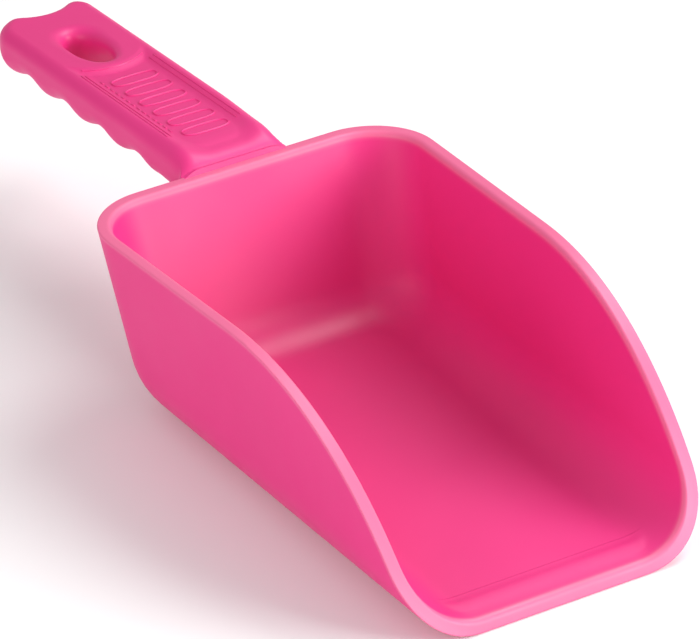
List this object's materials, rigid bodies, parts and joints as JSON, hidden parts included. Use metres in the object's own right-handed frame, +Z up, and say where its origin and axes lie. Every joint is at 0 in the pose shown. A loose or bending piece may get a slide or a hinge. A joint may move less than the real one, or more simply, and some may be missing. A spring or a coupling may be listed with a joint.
{
  "type": "feed scoop",
  "caption": "One-piece plastic hand scoop with a deep open-fronted bowl, a rounded mouth edge and a straight grip with finger scallops and a hanging hole.",
  "frame": {"origin": "on the flat underside of the bowl, on the centre line, halfway along the level part of the floor", "axes": "+Y from the front edge towards the handle, +Z up out of the bowl, X across the bowl with the part symmetric about X = 0"},
  "size_m": [0.129, 0.3447, 0.0691],
  "materials": {
    "moulding": "satin-gloss injection-moulded polypropylene, hot pink"
  },
  "bodies": {
    "root": {"pan": "moulding", "rim": "moulding", "lip_strip": "moulding", "neck": "moulding", "grip": "moulding", "emblem": "moulding"}
  },
  "joints": []
}
